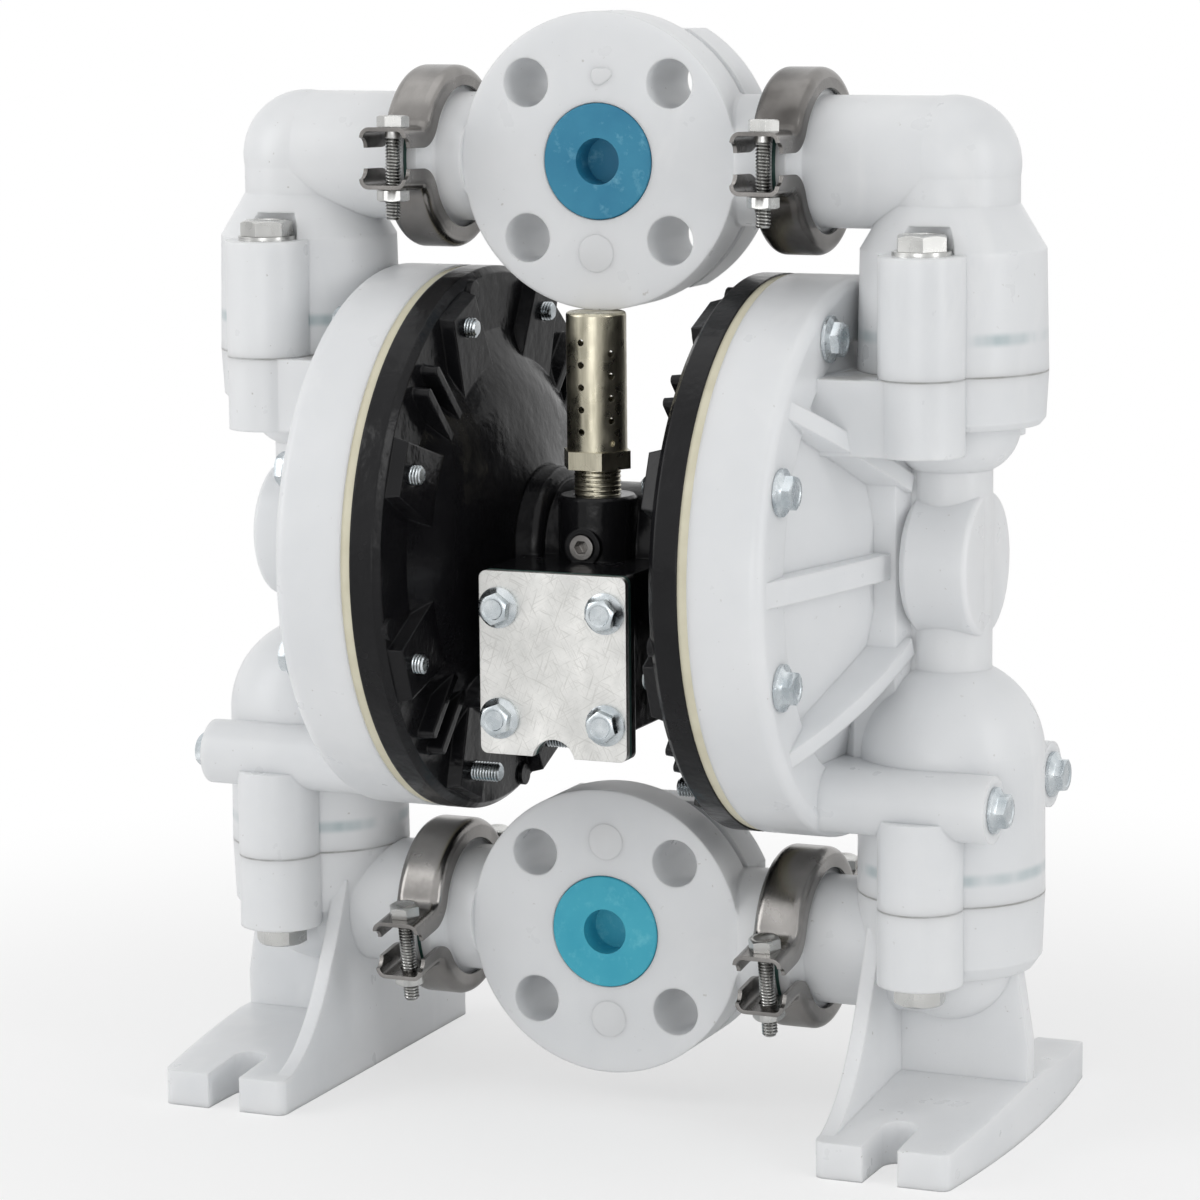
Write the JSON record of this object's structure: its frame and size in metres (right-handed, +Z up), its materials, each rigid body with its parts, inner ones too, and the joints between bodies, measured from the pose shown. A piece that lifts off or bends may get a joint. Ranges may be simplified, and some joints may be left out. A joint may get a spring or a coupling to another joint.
{
  "type": "air operated diaphragm pump",
  "caption": "Air-driven twin diaphragm pump with plastic wetted housings, clamped flanged manifolds, feet and a silencer on the air valve.",
  "frame": {"origin": "middle of the pump on the floor plane under the feet", "axes": "+X along the diaphragm shaft to the right seen from the ports, -Y out of the ports, +Z up"},
  "size_m": [0.347, 0.218, 0.433],
  "materials": {
    "polypropylene_natural": "semi-gloss, slightly translucent",
    "aluminium_black_coated": "gloss black coating",
    "stainless_steel": "brushed",
    "steel_zinc_plated": "zinc plated",
    "steel_yellow_passivated": "yellow passivated",
    "brass": "turned",
    "rubber_green": "matt",
    "diaphragm_ivory": "matt",
    "aluminium_plain": "machined",
    "plastic_inner": "moulded",
    "ptfe_white": "smooth",
    "polyethylene_teal": "semi-matt"
  },
  "bodies": {
    "pump_body": {"air_cap_left": "aluminium_black_coated", "air_cap_right": "aluminium_black_coated", "air_inlet_fitting": "steel_zinc_plated", "center_body": "aluminium_black_coated", "clamp_bolts": "stainless_steel", "clamp_gaskets": "rubber_green", "clamp_lower_left": "stainless_steel", "clamp_lower_right": "stainless_steel", "clamp_nuts": "stainless_steel", "clamp_upper_left": "stainless_steel", "clamp_upper_right": "stainless_steel", "cover_bolts": "steel_zinc_plated", "diaphragm_left": "diaphragm_ivory", "diaphragm_right": "diaphragm_ivory", "elbow_bolts": "stainless_steel", "elbow_washers": "stainless_steel", "fluid_cap_left": "polypropylene_natural", "fluid_cap_right": "polypropylene_natural", "housing_bolts_long": "steel_zinc_plated", "housing_bolts_short": "steel_zinc_plated", "lower_elbow_left": "polypropylene_natural", "lower_elbow_right": "polypropylene_natural", "lower_manifold": "polypropylene_natural", "muffler_base": "steel_yellow_passivated", "muffler_shell": "steel_yellow_passivated", "socket_plug": "steel_zinc_plated", "threaded_inserts": "brass", "upper_elbow_left": "polypropylene_natural", "upper_elbow_right": "polypropylene_natural", "upper_manifold": "polypropylene_natural", "valve_cover_plate": "steel_zinc_plated", "valve_gasket": "rubber_green", "valve_o_rings": "rubber_green", "valve_seats": "plastic_inner"},
    "shaft_assembly": {"diaphragm_shaft": "stainless_steel", "diaphragm_plates_inner": "aluminium_plain", "diaphragm_plates_outer": "plastic_inner"},
    "pilot": {"pilot_rod": "stainless_steel"},
    "spool": {"air_valve_spool": "plastic_inner"},
    "outlet_plug": {"port_plug_upper": "polyethylene_teal"},
    "inlet_plug": {"port_plug_lower": "polyethylene_teal"},
    "check_ball_lower_left": {"ball_lower_left": "ptfe_white"},
    "check_ball_lower_right": {"ball_lower_right": "ptfe_white"},
    "check_ball_upper_left": {"ball_upper_left": "ptfe_white"},
    "check_ball_upper_right": {"ball_upper_right": "ptfe_white"}
  },
  "joints": [
    {"name": "shaft_stroke", "type": "slide", "parent": "pump_body", "child": "shaft_assembly", "axis": [1, 0, 0], "range_m": [-0.01, 0.01], "deforming": ["diaphragm_left", "diaphragm_right"]},
    {"name": "pilot_slide", "type": "slide", "parent": "pump_body", "child": "pilot", "axis": [1, 0, 0], "range_m": [-0.003, 0.003]},
    {"name": "spool_slide", "type": "slide", "parent": "pump_body", "child": "spool", "axis": [1, 0, 0], "range_m": [-0.005, 0.005]},
    {"name": "ball_lift_upper_left", "type": "slide", "parent": "pump_body", "child": "check_ball_upper_left", "axis": [0, 0, 1], "range_m": [0, 0.009]},
    {"name": "ball_lift_upper_right", "type": "slide", "parent": "pump_body", "child": "check_ball_upper_right", "axis": [0, 0, 1], "range_m": [0, 0.009]},
    {"name": "ball_lift_lower_left", "type": "slide", "parent": "pump_body", "child": "check_ball_lower_left", "axis": [0, 0, 1], "range_m": [0, 0.009]},
    {"name": "ball_lift_lower_right", "type": "slide", "parent": "pump_body", "child": "check_ball_lower_right", "axis": [0, 0, 1], "range_m": [0, 0.009]},
    {"name": "outlet_plug_pull", "type": "slide", "parent": "pump_body", "child": "outlet_plug", "axis": [0, -1, 0], "range_m": [0, 0.06]},
    {"name": "inlet_plug_pull", "type": "slide", "parent": "pump_body", "child": "inlet_plug", "axis": [0, -1, 0], "range_m": [0, 0.06]}
  ],
  "couplings": [
    {"joint": "pilot_slide", "follows": "shaft_stroke", "ratio": 0.3}
  ]
}
